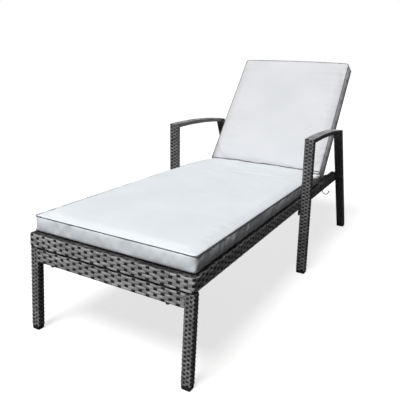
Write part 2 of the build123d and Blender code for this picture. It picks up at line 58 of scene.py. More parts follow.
right = level_right * math.cos(roll) + level_up * math.sin(roll)
upward = level_up * math.cos(roll) - level_right * math.sin(roll)
eye = bpy.data.cameras.new("eye")
eye.sensor_width = 36.0
eye.lens = 501.3565 / 400 * 36
eye.shift_x = (200 - 167.568) / 400
eye.shift_y = (158.7921 - 200) / 400
eye_object = bpy.data.objects.new("eye", eye)
bpy.context.scene.collection.objects.link(eye_object)
eye_object.matrix_world = Matrix((
    (right.x, upward.x, -forward.x, 0.877),
    (right.y, upward.y, -forward.y, -2.0532),
    (right.z, upward.z, -forward.z, 0.9303),
    (0, 0, 0, 1),
))
bpy.context.scene.camera = eye_object

# Cushion ties: narrow woven tapes sewn under the rear corners of the seat
# cushion. Each drops outside its side rail, hooks forward and ends in a knot.
tie_points = (
    (0.304, 0.366, 0.357), (0.317, 0.366, 0.357), (0.3145, 0.394, 0.334), (0.3135, 0.421, 0.316),
    (0.3145, 0.450, 0.294), (0.316, 0.488, 0.277), (0.317, 0.532, 0.269), (0.317, 0.560, 0.274),
)
tie_width = 0.004


def link(thing):
    """Puts an object into the scene."""
    bpy.context.scene.collection.objects.link(thing)
    return thing


def fresh_material(name, roughness, metallic=0.0, sheen=0.0):
    """A material with its Principled shader, ready for its colour nodes."""
    material = bpy.data.materials.new(name)
    material.use_nodes = True
    shader = material.node_tree.nodes["Principled BSDF"]
    shader.inputs["Roughness"].default_value = roughness
    shader.inputs["Metallic"].default_value = metallic
    shader.inputs["Sheen Weight"].default_value = sheen
    return material, material.node_tree, shader


def tone(tree, value, stops):
    """A colour ramp fed by a value: stops are (place, grey or colour)."""
    ramp = tree.nodes.new("ShaderNodeValToRGB")
    while len(ramp.color_ramp.elements) < len(stops):
        ramp.color_ramp.elements.new(0.5)
    for element, (place, colour) in zip(ramp.color_ramp.elements, stops):
        element.position = place
        element.color = (*colour, 1) if hasattr(colour, "__len__") else (colour, colour, colour, 1)
    tree.links.new(value, ramp.inputs["Fac"])
    return ramp.outputs["Color"]


def sums(tree, operation, *values):
    """One maths node; a value is a socket or a number."""
    node = tree.nodes.new("ShaderNodeMath")
    node.operation = operation
    for place, value in enumerate(values):
        if isinstance(value, (int, float)):
            node.inputs[place].default_value = value
        else:
            tree.links.new(value, node.inputs[place])
    return node.outputs[0]


def scaled(tree, value, gain, base=0.0):
    """A value times gain, plus base."""
    return sums(tree, "MULTIPLY_ADD", value, gain, base)


def relief(tree, shader, height, strength, distance):
    """Feeds a height into the shader's normal through a bump."""
    bump = tree.nodes.new("ShaderNodeBump")
    bump.inputs["Strength"].default_value = strength
    bump.inputs["Distance"].default_value = distance
    tree.links.new(height, bump.inputs["Height"])
    tree.links.new(bump.outputs["Normal"], shader.inputs["Normal"])


def place_of(tree, scale=(1, 1, 1), turn=(0, 0, 0)):
    """Object coordinates, turned and scaled by a Mapping node."""
    where = tree.nodes.new("ShaderNodeTexCoord")
    mapping = tree.nodes.new("ShaderNodeMapping")
    mapping.inputs["Scale"].default_value = scale
    mapping.inputs["Rotation"].default_value = turn
    tree.links.new(where.outputs["Object"], mapping.inputs["Vector"])
    return mapping.outputs["Vector"]


def noise(tree, vector, scale, detail=3.0, rough=0.5):
    """A noise texture's value."""
    node = tree.nodes.new("ShaderNodeTexNoise")
    node.inputs["Scale"].default_value = scale
    node.inputs["Detail"].default_value = detail
    node.inputs["Roughness"].default_value = rough
    tree.links.new(vector, node.inputs["Vector"])
    return node.outputs["Fac"]


def ring_quads(count, around, closed=False):
    """Quads between rings of points stored one after another, each ring closed on itself; closed
    also joins the last ring to the first."""
    ring = np.arange(count if closed else count - 1)[:, None] * around
    after = (ring + around) % (count * around)
    here = np.arange(around)
    there = (here + 1) % around
    return np.stack([ring + here, ring + there, after + there, after + here], -1).reshape(-1, 4)


def solid(name, points, faces, material):
    """A smooth-shaded object from points and faces."""
    mesh = bpy.data.meshes.new(name)
    mesh.from_pydata(points.tolist(), [], faces)
    mesh.shade_smooth()
    mesh.materials.append(material)
    return link(bpy.data.objects.new(name, mesh))


def shared_effect(name, inputs, outputs):
    """A node group whose inputs and outputs are (name, kind); gives it with its two rows of sockets."""
    group = bpy.data.node_groups.new(name, "ShaderNodeTree")
    for way, rows in (("INPUT", inputs), ("OUTPUT", outputs)):
        for label, kind in rows:
            group.interface.new_socket(label, in_out=way, socket_type="NodeSocket" + kind)
    return group, group.nodes.new("NodeGroupInput").outputs, group.nodes.new("NodeGroupOutput").inputs


def put_in(tree, group, **values):
    """Adds a shared effect to a material; a value is a socket, a number or a colour."""
    node = tree.nodes.new("ShaderNodeGroup")
    node.node_tree = group
    for label, value in values.items():
        if isinstance(value, bpy.types.NodeSocket):
            tree.links.new(value, node.inputs[label])
        else:
            node.inputs[label].default_value = value
    return node.outputs


def grey(value):
    """A grey as a colour."""
    return (value, value, value, 1)


def blend(tree, share, first, second):
    """A colour mixed from first to second; each is a socket or a colour."""
    node = tree.nodes.new("ShaderNodeMix")
    node.data_type = "RGBA"
    for label, value in (("Factor", share), ("A", first), ("B", second)):
        if isinstance(value, bpy.types.NodeSocket):
            tree.links.new(value, node.inputs[label])
        else:
            node.inputs[label].default_value = value
    return node.outputs["Result"]


def step_up(tree, value, low, high, start=0.0, end=1.0):
    """A smooth step: start below low, end above high."""
    node = tree.nodes.new("ShaderNodeMapRange")
    node.interpolation_type = "SMOOTHSTEP"
    tree.links.new(value, node.inputs["Value"])
    for label, number in (("From Min", low), ("From Max", high), ("To Min", start), ("To Max", end)):
        node.inputs[label].default_value = number
    return node.outputs["Result"]


fibre, given, result = shared_effect(
    "fibre", (("Place", "Vector"), ("Dark", "Color"), ("Light", "Color")),
    (("Colour", "Color"), ("Height", "Float")))
threads = noise(fibre, given["Place"], 1.0, 3.0)
shade = step_up(fibre, threads, 0.3, 0.7)
fibre.links.new(blend(fibre, shade, given["Dark"], given["Light"]), result["Colour"])
fibre.links.new(threads, result["Height"])


def fibrous(name, roughness, scale, dark, light, strength):
    """A material of spun or braided fibre."""
    material, tree, shader = fresh_material(name, roughness)
    made = put_in(tree, fibre, Place=place_of(tree, scale), Dark=dark, Light=light)
    tree.links.new(made["Colour"], shader.inputs["Base Color"])
    relief(tree, shader, made["Height"], strength, 0.0005)
    return material


tape = fibrous("tape cloth", 0.85, (1800, 700, 1800), grey(0.07), grey(0.22), 0.5)
# The knot cloth is the tape's fibre painted darker, as painted shade.
shaded_knot_cloth = fibrous("shaded knot cloth", 0.9, (900, 900, 900), grey(0.03), grey(0.10), 0.7)

for side, hand in (("l", 1), ("r", -1)):
    line = bpy.data.curves.new(f"tie_tape_{side}", "CURVE")
    line.dimensions = "3D"
    spline = line.splines.new("NURBS")
    spline.points.add(len(tie_points) - 1)
    spline.points.foreach_set("co", [v for x, y, z in tie_points for v in (hand * x, y, z, 1.0)])
    spline.order_u = 3
    spline.use_endpoint_u = True
    spline.resolution_u = 12
    line.bevel_depth = tie_width / 2
    line.bevel_resolution = 3
    line.use_fill_caps = True
    line.materials.append(tape)
    tie = link(bpy.data.objects.new(f"tie_tape_{side}", line))
    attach(tie, "bed")
    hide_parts(f"cushion_tie_{side}")

    # The knot: the tape's end turned over itself, so lobed rather than round. Its cloth is the tape's fibre,
    # painted darker as shade.
    low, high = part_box(f"tie_knot_{side}")
    centre, size = (np.array(low) + np.array(high)) / 2, 0.0044
    steps = 28
    around = np.linspace(0, 2 * np.pi, steps, endpoint=False)[None, :]
    down = np.linspace(0, np.pi, 16)[:, None]
    lobes = size * (0.92 + 0.08 * np.sin(3 * around + 2.5 * down) * np.sin(down))
    sideways = np.sin(down)
    ball = np.stack([sideways * np.cos(around), sideways * np.sin(around), np.cos(down) + 0 * around], -1)
    points = centre + lobes[..., None] * ball
    here = np.arange(steps)
    there = np.roll(here, -1)
    quads = (ring_quads(14, steps) + steps)[:, [0, 3, 2, 1]].tolist()
    caps = [(steps + b, 0, steps + a) for a, b in zip(here.tolist(), there.tolist())]
    caps += [(14 * steps + a, 15 * steps, 14 * steps + b) for a, b in zip(here.tolist(), there.tolist())]
    knot = solid(f"tie_end_{side}", points.reshape(-1, 3), quads + caps, shaded_knot_cloth)
    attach(knot, "bed")
    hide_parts(f"tie_knot_{side}")

# Bed frame weave: one wrapping of flat grey resin strands over dark stakes,
# run along the rails from one rear end round both front corners to the other.
# Five strands cover a rail's height; every second stake crossing shows dark.


def section_ring(half_side, half_up, corner, count):
    """Points and outward normals round a rectangle with rounded corners, evenly spaced by
    length, starting at the middle of the +up face and going towards +side; also the length round it."""
    turn = np.linspace(0, np.pi / 2, 7)
    arcs = [
        (half_side - corner, half_up - corner, np.pi / 2 - turn),
        (half_side - corner, -(half_up - corner), -turn),
        (-(half_side - corner), -(half_up - corner), -np.pi / 2 - turn),
        (-(half_side - corner), half_up - corner, -np.pi - turn),
    ]
    edge = [np.array([[0, half_up]])]
    facing = [np.array([[0, 1.0]])]
    for x, z, angle in arcs:
        way = np.stack([np.cos(angle), np.sin(angle)], -1)
        edge.append(np.array([[x, z]]) + corner * way)
        facing.append(way)
    edge = np.concatenate(edge + [np.array([[0, half_up]])])
    facing = np.concatenate(facing + [np.array([[0, 1.0]])])
    run = np.concatenate([[0], np.cumsum(np.linalg.norm(np.diff(edge, axis=0), axis=1))])
    spots = np.arange(count) / count * run[-1]
    at = np.stack([np.interp(spots, run, edge[:, i]) for i in (0, 1)], -1)
    normal = np.stack([np.interp(spots, run, facing[:, i]) for i in (0, 1)], -1)
    return at, normal / np.linalg.norm(normal, axis=1, keepdims=True), run[-1]


def strand_height(stake, row, stake_gap):
    """Height of the woven surface in metres. A strand is crowned across its row and rides over
    one stake and dives under the next; where it dives, the rounded stake shows instead."""
    off = (stake - np.round(stake)) * stake_gap
    over = np.where((np.floor(row) + np.round(stake)) % 2 == 0, 1.0, -1.0)
    across = np.abs(row - np.floor(row) - 0.5) * 2
    near = np.exp(-((off / 0.0070) ** 2))
    strand = 0.0003 * (1 - across**4) - 0.0004 * across**10 + np.where(over > 0, 0.0005, -0.0016) * near
    bar = np.where(np.abs(off) < 0.0048, -0.0003 - 0.0007 * (off / 0.0048) ** 2, -0.01)
    return np.maximum(strand, bar)


def woven_sleeve(name, outer, inner, side_way, half_side, nominal, corner, gap, rows_along, material, count,
                 flip=False, start=0.0):
    """A sleeve carried along a path: outer and inner are the matching points on its two edges.
    Each section is a rounded rectangle between them. The weave coordinates (stakes, rows) go into the
    UV map Weave: rows_along says if the strands run along the path or round it. gap is (stake, row) spacing,
    and start is the stake count where the path begins."""
    outer, inner = np.asarray(outer), np.asarray(inner)
    side_way = np.asarray(side_way, float)
    steps = len(outer)
    at, normal, around = section_ring(half_side, nominal, corner, count)
    centre = (outer + inner) / 2
    up = outer - inner
    half_up = np.linalg.norm(up, axis=1) / 2
    up = up / (2 * half_up[:, None])
    run = np.concatenate([[0], np.cumsum(np.linalg.norm(np.diff(outer, axis=0), axis=1))])
    where = (np.arange(count + 1) / count)[None, :]
    if rows_along:
        lanes = 2 * round(around / gap[1] / 2)
        stake = start + run[:, None] / gap[0] + 0 * where
        row = lanes * where + 0.5 + 0 * run[:, None]
        spacing = gap[0]
    else:
        lanes = 2 * round(around / gap[0] / 2)
        stake = lanes * where + 0.5 + 0 * run[:, None]
        row = run[:, None] / gap[1] + 0 * where
        spacing = around / lanes
    height = strand_height(stake, row, spacing)[:, :count] - 0.0005
    stretch = (half_up / nominal)[:, None, None]
    ways = normal[None, :, :1] * side_way + normal[None, :, 1:] * up[:, None, :]
    points = (
        centre[:, None, :]
        + at[None, :, :1] * side_way
        + at[None, :, 1:] * stretch * up[:, None, :]
        + height[..., None] * ways
    )
    quads = ring_quads(steps, count)
    weave = np.stack([stake, row], -1)
    corners = np.stack([weave[:-1, :-1], weave[:-1, 1:], weave[1:, 1:], weave[1:, :-1]], 2).reshape(-1, 4, 2)
    ends = [list(range(count))[::-1], list(range((steps - 1) * count, steps * count))]
    if flip:
        quads, corners = quads[:, ::-1], corners[:, ::-1]
        ends = [e[::-1] for e in ends]
    sleeve = solid(name, points.reshape(-1, 3), quads.tolist() + ends, material)
    layer = sleeve.data.uv_layers.new(name="Weave")
    flat = np.concatenate([corners.reshape(-1, 2), np.full((2 * count, 2), 0.5)])
    layer.data.foreach_set("uv", flat.astype(np.float32).ravel())
    return sleeve


def weave_group():
    """The shared weave: takes (stakes, rows) and the stake's half width in stakes, and puts out where a
    stake shows, a painted shade for the grooves between strand rows, the strand's streaked grey, and a fine
    height."""
    group, given, result = shared_effect(
        "woven strands", (("Weave", "Vector"), ("Half width", "Float")),
        (("Stake", "Float"), ("Groove shade", "Float"), ("Streak", "Float"), ("Height", "Float")))
    split = group.nodes.new("ShaderNodeSeparateXYZ")
    group.links.new(given["Weave"], split.inputs[0])
    along, across = split.outputs[0], split.outputs[1]
    nearest = sums(group, "ROUND", along)
    lane = sums(group, "FLOOR", across)
    odd = sums(group, "MODULO", sums(group, "ADD", sums(group, "ADD", nearest, lane), 1000.0), 2.0)
    odd = sums(group, "GREATER_THAN", odd, 0.5)
    off = sums(group, "ABSOLUTE", sums(group, "SUBTRACT", along, nearest))
    edge = sums(group, "ABSOLUTE", sums(group, "SUBTRACT", sums(group, "SUBTRACT", across, lane), 0.5))
    narrow = step_up(group, sums(group, "DIVIDE", off, given["Half width"]), 0.8, 1.15, 1.0, 0.0)
    tall = step_up(group, edge, 0.40, 0.54, 1.0, 0.0)
    group.links.new(sums(group, "MULTIPLY", sums(group, "MULTIPLY", narrow, tall), odd), result["Stake"])
    # Painted shade for the grooves: rises towards the edges of each strand row.
    group.links.new(step_up(group, edge, 0.41, 0.5, 0.0, 0.65), result["Groove shade"])
    drawn = group.nodes.new("ShaderNodeCombineXYZ")
    for place, (value, gain) in enumerate(((along, 1.1), (across, 9.0), (lane, 3.7))):
        group.links.new(sums(group, "MULTIPLY", value, gain), drawn.inputs[place])
    fine = noise(group, drawn.outputs[0], 1.0, 4.0, 0.62)
    strand = group.nodes.new("ShaderNodeCombineXYZ")
    pair = sums(group, "MULTIPLY", sums(group, "ADD", along, lane), 0.5)
    group.links.new(sums(group, "FLOOR", pair), strand.inputs[0])
    group.links.new(lane, strand.inputs[1])
    patch = group.nodes.new("ShaderNodeTexWhiteNoise")
    group.links.new(strand.outputs[0], patch.inputs["Vector"])
    streak = sums(group, "MULTIPLY_ADD", fine, 0.75, scaled(group, patch.outputs["Value"], 0.25))
    group.links.new(streak, result["Streak"])
    group.links.new(fine, result["Height"])
    return group


def top_light_group():
    """Painted light and shade by facing: a mask strongest on the faces that look up, broken by a soft cloud,
    times Amount; the wicker paints those faces paler with it (painted light) or, below nought, darker
    (painted shade).
    """
    group, given, result = shared_effect(
        "painted top light and shade", (("Place", "Vector"), ("Amount", "Float")), (("Mask", "Float"),))
    where = group.nodes.new("ShaderNodeTexCoord")
    split = group.nodes.new("ShaderNodeSeparateXYZ")
    group.links.new(where.outputs["Normal"], split.inputs[0])
    cloud = scaled(group, noise(group, given["Place"], 25.0, 3.0), 0.5, 0.75)
    up = step_up(group, split.outputs[2], 0.35, 0.95)
    mask = sums(group, "MULTIPLY", sums(group, "MULTIPLY", up, cloud), given["Amount"])
    group.links.new(mask, result["Mask"])
    return group


woven = weave_group()
top_light_effect = top_light_group()


def wicker(name, half_width, weave_from, light=1.0, top_light=0.7):
    """Resin wicker: streaked grey strands, near-black stakes and painted shade in the grooves between strand
    rows.
    top_light paints faces that look up paler (painted light), or darker below nought (painted shade); light
    scales the strand grey; weave_from gives the (stakes, rows) socket for a tree."""
    material, tree, shader = fresh_material(name, 0.5)
    weave = put_in(tree, woven, Weave=weave_from(tree))
    weave["Streak"].node.inputs["Half width"].default_value = half_width
    greys = (
        (0.30, (0.12, 0.12, 0.124)), (0.48, (0.28, 0.28, 0.287)),
        (0.60, (0.38, 0.38, 0.388)), (0.76, (0.56, 0.56, 0.57)),
    )
    strands = tree.nodes.new("ShaderNodeVectorMath")
    strands.operation = "SCALE"
    tree.links.new(tone(tree, weave["Streak"], greys), strands.inputs[0])
    # Painted light and shade by facing: up-facing faces paler for a top_light above nought, darker as painted
    # shade below it.
    sunlit = put_in(tree, top_light_effect, Place=place_of(tree), Amount=top_light)["Mask"]
    tree.links.new(sums(tree, "MULTIPLY", sums(tree, "ADD", sunlit, 1.0), light), strands.inputs["Scale"])
    # Painted shade: the grooves between strand rows are darkened towards near-black.
    groove_shade = blend(tree, weave["Groove shade"], strands.outputs[0], (0.05, 0.05, 0.053, 1))
    tree.links.new(blend(tree, weave["Stake"], groove_shade, (0.012, 0.012, 0.014, 1)), shader.inputs["Base Color"])
    tree.links.new(scaled(tree, weave["Streak"], 0.3, 0.38), shader.inputs["Roughness"])
    relief(tree, shader, weave["Height"], 0.35, 0.0006)
    return material


def from_map(tree):
    """The weave coordinates laid on the sleeve when it was wound."""
    layer = tree.nodes.new("ShaderNodeUVMap")
    layer.uv_map = "Weave"
    return layer.outputs["UV"]


first_stake = 0.273
rail_gap = (0.0253, 0.0096)
leg_gap = (0.0130, 0.0068)
arm_gap = (0.0140, 0.0080)
# Painted light and shade by facing: the rail wicker paints its up-facing faces darker as shade, under the
# cushion and in the seam under the foot rail; the arm wicker paints its tops paler as painted light; the leg
# wicker paints its up-facing faces darker as shade.
rail_wicker = wicker("rail wicker", 0.0068 / rail_gap[0], from_map, 1.0, -0.85)
# Painted shade: the arm and leg wickers are the rail's strands, painted darker overall by a light below one.
arm_wicker = wicker("arm wicker", 0.0060 / arm_gap[0], from_map, 0.58, 0.8)
leg_wicker = wicker("leg wicker", 0.0044 / leg_gap[0], from_map, 0.66, -0.6)


def along_line(corners, step):
    """Points evenly spaced by length along straight runs between corners, and their distances."""
    corners = np.asarray(corners, float)
    run = np.concatenate([[0], np.cumsum(np.linalg.norm(np.diff(corners, axis=0), axis=1))])
    spots = np.linspace(0, run[-1], max(int(run[-1] / step), 2) + 1)
    return np.stack([np.interp(spots, run, corners[:, i]) for i in range(corners.shape[1])], -1), spots, run


foot_low, foot_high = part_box("foot_rail_weave")
rail_low, rail_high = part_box("side_rail_weave_l")
out_x, in_x = foot_high.x, rail_low.x
front_y, behind_y, end_y = foot_low.y, foot_high.y, rail_high.y
mid_z = (foot_low.z + foot_high.z) / 2
bend = 0.006
cut = bend * 0.3
outer_corners = [
    (out_x, end_y), (out_x, front_y + bend), (out_x - cut, front_y + cut), (out_x - bend, front_y),
]
outer_corners += [(-x, y) for x, y in reversed(outer_corners)]
outer, spots, marks = along_line(outer_corners, 0.0034)
first, second = (marks[1] + marks[3]) / 2, (marks[4] + marks[6]) / 2
reach = out_x - in_x + 0.004
inner_corners = [(in_x, end_y), (in_x, behind_y), (-in_x, behind_y), (-in_x, end_y)]
_, _, inner_marks = along_line(inner_corners, 0.01)
near = 0.003
inner_spots = np.interp(
    spots,
    [0, first - reach, first + reach, second - reach, second + reach, spots[-1]],
    [0, inner_marks[1] - near, inner_marks[1] + near,
     inner_marks[2] - near, inner_marks[2] + near, inner_marks[3]],
)
inner = np.stack([np.interp(inner_spots, inner_marks, [c[i] for c in inner_corners]) for i in (0, 1)], -1)
lift = np.full((len(outer), 1), mid_z)
bed_weave = woven_sleeve(
    "bed_weave", np.hstack([outer, lift]), np.hstack([inner, lift]), (0, 0, 1), 0.0240, 0.015, 0.0040,
    rail_gap, True, rail_wicker, 64, start=-(marks[3] + (out_x - bend) + first_stake) / rail_gap[0] % 2)
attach(bed_weave, "bed")
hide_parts("foot_rail_weave", "side_rail_weave_l", "side_rail_weave_r")

# Bed frame steel: powder-coated tube under the weave, cross bars let in between
# the side rails, and a low rail at the rear with two moulded rest pads.


coat, given, result = shared_effect(
    "powder coat", (("Place", "Vector"), ("Coat", "Color"), ("Rubbed", "Color")),
    (("Colour", "Color"), ("Roughness", "Float"), ("Height", "Float")))
cloud = noise(coat, given["Place"], 14.0, 3.0)
worn = step_up(coat, cloud, 0.68, 0.86)
coat.links.new(blend(coat, worn, given["Coat"], given["Rubbed"]), result["Colour"])
coat.links.new(scaled(coat, cloud, 0.25, 0.32), result["Roughness"])
coat.links.new(noise(coat, given["Place"], 900.0, 2.0), result["Height"])


def coated_steel(name, shade, worn):
    """Satin powder coat: a fine pebbled skin, slow changes of tone and rubbed high spots."""
    material, tree, shader = fresh_material(name, 0.42)
    made = put_in(tree, coat, Place=place_of(tree), Coat=grey(shade), Rubbed=grey(worn))
    tree.links.new(made["Colour"], shader.inputs["Base Color"])
    tree.links.new(made["Roughness"], shader.inputs["Roughness"])
    relief(tree, shader, made["Height"], 0.18, 0.0003)
    return material


grain, given, result = shared_effect(
    "moulded grain", (("Place", "Vector"), ("Dark", "Color"), ("Light", "Color")),
    (("Colour", "Color"), ("Height", "Float")))
flow = step_up(grain, noise(grain, given["Place"], 22.0, 2.0), 0.3, 0.75)
grain.links.new(blend(grain, flow, given["Dark"], given["Light"]), result["Colour"])
grain.links.new(noise(grain, given["Place"], 1400.0, 2.0), result["Height"])


def moulded(name, shade, roughness):
    """Injection-moulded plastic: a spark-eroded matt grain and faint flow marks."""
    material, tree, shader = fresh_material(name, roughness)
    made = put_in(tree, grain, Place=place_of(tree), Dark=grey(shade * 0.75), Light=grey(shade * 1.5))
    tree.links.new(made["Colour"], shader.inputs["Base Color"])
    relief(tree, shader, made["Height"], 0.25, 0.0002)
    return material


def dress(material, *names):
    """Gives CAD pieces a finish through their own material slots."""
    for name in names:
        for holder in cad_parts[name].material_slots:
            holder.material = material


dark_steel = coated_steel("dark powder coat", 0.022, 0.06)
black_plastic = moulded("black moulding", 0.016, 0.55)
dress(dark_steel, "bed_frame_core", "leg_frame_core", "seat_cross_bars", "rear_rail")
dress(black_plastic, "rear_rail_pads")

# Seat deck: flat resin strap woven across the bed between the rails. It shows
# from below and at the hinge gap.


def flat_from(spacing, turn):
    """Weave coordinates on a flat woven sheet, from its place turned flat."""
    def socket(tree):
        return place_of(tree, (1 / spacing[0], 1 / spacing[1], 0), turn)
    return socket


# Painted light: the deck wicker paints its up-facing faces paler.
deck_wicker = wicker("deck wicker", 0.0055 / 0.028, flat_from((0.028, 0.0105), (0, 0, 0)), 0.8)
dress(deck_wicker, "seat_deck")

# Front leg frame: two woven legs and a woven rail bolted up under the foot
# rail, with a dark seam between, partly painted shade on the rail's up-facing faces, on moulded feet.
leg_low, leg_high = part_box("front_leg_weave_l")
cross_low, cross_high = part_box("leg_rail_weave")
leg_mid_y = (leg_low.y + leg_high.y) / 2
half_leg = (leg_high.x - leg_low.x) / 2
half_deep = (leg_high.y - leg_low.y) / 2
for side, hand in (("l", 1), ("r", -1)):
    steps, _, _ = along_line([(leg_low.z,), (leg_high.z,)], 0.0026)
    middle = hand * (leg_low.x + leg_high.x) / 2
    front = np.hstack([np.full_like(steps, middle), np.full_like(steps, leg_low.y), steps])
    rear = np.hstack([np.full_like(steps, middle), np.full_like(steps, leg_high.y), steps])
    leg = woven_sleeve(f"leg_weave_{side}", front, rear, (1, 0, 0), half_leg, half_deep, 0.004,
                       leg_gap, False, leg_wicker, 56)
    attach(leg, "bed")
    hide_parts(f"front_leg_weave_{side}")

steps, _, _ = along_line([(cross_low.x - 0.002,), (cross_high.x + 0.002,)], 0.0034)
cross_z = (cross_low.z + cross_high.z) / 2
front = np.hstack([steps, np.full_like(steps, cross_low.y + 0.0006), np.full_like(steps, cross_z)])
rear = np.hstack([steps, np.full_like(steps, cross_high.y - 0.0006), np.full_like(steps, cross_z)])
leg_rail = woven_sleeve("leg_rail_cover", front, rear, (0, 0, 1), 0.0236, half_deep, 0.0040,
                        rail_gap, True, rail_wicker, 64, flip=True,
                        start=(cross_low.x - 0.002 + first_stake) / rail_gap[0])
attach(leg_rail, "bed")
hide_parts("leg_rail_weave")
dress(black_plastic, "front_foot_caps")

# Arms: each is one bent tube wound from the foot of its front post, over the
# arched top and down the sloping rear leg, mitred at both corners.


def arch(y, places, heights):
    """Height of an arched edge: the curve of second degree through three points."""
    a, b, c = places
    za, zb, zc = heights
    return (za * (y - b) * (y - c) / ((a - b) * (a - c)) + zb * (y - a) * (y - c) / ((b - a) * (b - c))
            + zc * (y - a) * (y - b) / ((c - a) * (c - b)))


post_lean = 0.046 / 0.618
leg_lean = 0.333 / 0.600
front_top, rear_top = (0.036, 0.618), (0.596, 0.600)
low_front = (front_top[0] + post_lean * 0.020, 0.598)
low_rear = (rear_top[0] + leg_lean * 0.020, 0.580)
top_y = np.linspace(front_top[0], rear_top[0], 120)
top_line = np.stack([top_y, arch(top_y, (0.036, 0.316, 0.596), (0.618, 0.620, 0.600))], -1)
in_front, in_rear = 0.0734, 0.5659
under_y = np.linspace(in_front, in_rear, 120)
under_line = np.stack([under_y, arch(under_y, (low_front[0], 0.316, low_rear[0]), (0.598, 0.600, 0.580))], -1)
cap_z = 0.014
post_out = [(front_top[0] + post_lean * (0.618 - cap_z), cap_z), front_top]
post_in = [(post_out[0][0] + 0.036, cap_z), tuple(under_line[0])]
leg_out = [rear_top, (rear_top[0] + leg_lean * (0.600 - cap_z), cap_z)]
leg_in = [tuple(under_line[-1]), (leg_out[1][0] - 0.034 * math.hypot(1, leg_lean), cap_z)]


def pair_up(out_line, in_line, fans, step=0.0027):
    """Matches points on a member's two edges: square across it, except that the last stretches
    before a mitred corner fan out to meet the corner. fans are the lengths of those stretches."""
    line_out, at, _ = along_line(out_line, step)
    in_corners = np.asarray(in_line, float)
    in_run = np.concatenate([[0], np.cumsum(np.linalg.norm(np.diff(in_corners, axis=0), axis=1))])
    extra = at[-1] - in_run[-1]
    start, finish = fans
    share = start / (start + finish) if start + finish else 0.0
    spots = np.interp(at, [0, start + 1e-6, at[-1] - finish - 2e-6, at[-1]],
                      [0, start - extra * share, at[-1] - finish - extra * share, in_run[-1]])
    line_in = np.stack([np.interp(spots, in_run, in_corners[:, i]) for i in (0, 1)], -1)
    return line_out, line_in


pairs = [
    pair_up(post_out, post_in, (0.0, 0.07)),
    pair_up(top_line, under_line, (0.08, 0.08)),
    pair_up(leg_out, leg_in, (0.0, 0.07)),
]
edge_out = np.concatenate([pairs[0][0], pairs[1][0][1:], pairs[2][0][1:]])
edge_in = np.concatenate([pairs[0][1], pairs[1][1][1:], pairs[2][1][1:]])
arm_low, arm_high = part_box("arm_top_weave_l")
for side, hand in (("l", 1), ("r", -1)):
    middle = np.full((len(edge_out), 1), hand * (arm_low.x + arm_high.x) / 2)
    outside, inside = np.hstack([middle, edge_out]), np.hstack([middle, edge_in])
    arm = woven_sleeve(f"arm_weave_{side}", outside, inside, (1, 0, 0),
                       0.020, 0.0175, 0.0045, arm_gap, False, arm_wicker, 56)
    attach(arm, "bed")
    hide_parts(f"arm_top_weave_{side}", f"arm_post_weave_{side}", f"rear_leg_weave_{side}")
dress(dark_steel, "arm_core_l", "arm_core_r", "post_brackets")
dress(black_plastic, "arm_foot_caps")

# Fixings: zinc-plated bolts, rivets, studs and nuts, with turned faces that
# catch the light, and pale nylon washers and bushes between moving parts.
zinc, tree, shader = fresh_material("zinc plate", 0.35, 1.0)
turned = noise(tree, place_of(tree, (500, 60, 500)), 1.0, 3.0)
dull = noise(tree, place_of(tree), 60.0, 3.0)
plated = tone(tree, dull, ((0.3, (0.34, 0.35, 0.36)), (0.7, (0.55, 0.56, 0.57))))
tree.links.new(plated, shader.inputs["Base Color"])
tree.links.new(scaled(tree, turned, 0.3, 0.2), shader.inputs["Roughness"])
relief(tree, shader, turned, 0.2, 0.0002)
dress(zinc, "arm_bolts", "arm_bolt_nuts", "leg_frame_bolts", "leg_frame_nuts", "leg_frame_washers",
      "hinge_plate_rivets", "hinge_studs", "hinge_nuts", "stay_studs", "stay_nuts")
nylon = moulded("nylon", 0.05, 0.4)
dress(nylon, "hinge_washers", "hinge_bushes", "stay_washers")

# Hinge plates, notched racks and the stay: laser-cut steel, powder coated, with
# the coat rubbed thin in scattered patches.
rubbed_steel = coated_steel("rubbed powder coat", 0.028, 0.14)
dress(rubbed_steel, "hinge_plate_l", "hinge_plate_r", "rack_l", "rack_r",
      "stay_ears", "stay_arm_l", "stay_arm_r", "stay_bar")

# Back frame: steel stiles and rails with slats, and a panel of woven strap on
# its front face, closed by moulded plugs at the top of the stiles.
recline = math.radians(51.4)
# Painted light: the back panel wicker paints its up-facing faces paler.
back_wicker = wicker("back panel wicker", 0.0055 / 0.028, flat_from((0.028, 0.0105), (-recline, 0, 0)), 0.8)
dress(dark_steel, "back_stile_l", "back_stile_r", "back_bottom_rail", "back_top_rail", "back_slats")
dress(back_wicker, "back_panel")
dress(black_plastic, "stile_plugs")

# Seat cushion: a boxed foam mattress in pale grey woven polyester, piped round
# its top and bottom edges, plump in the middle and eased down at the hinge.


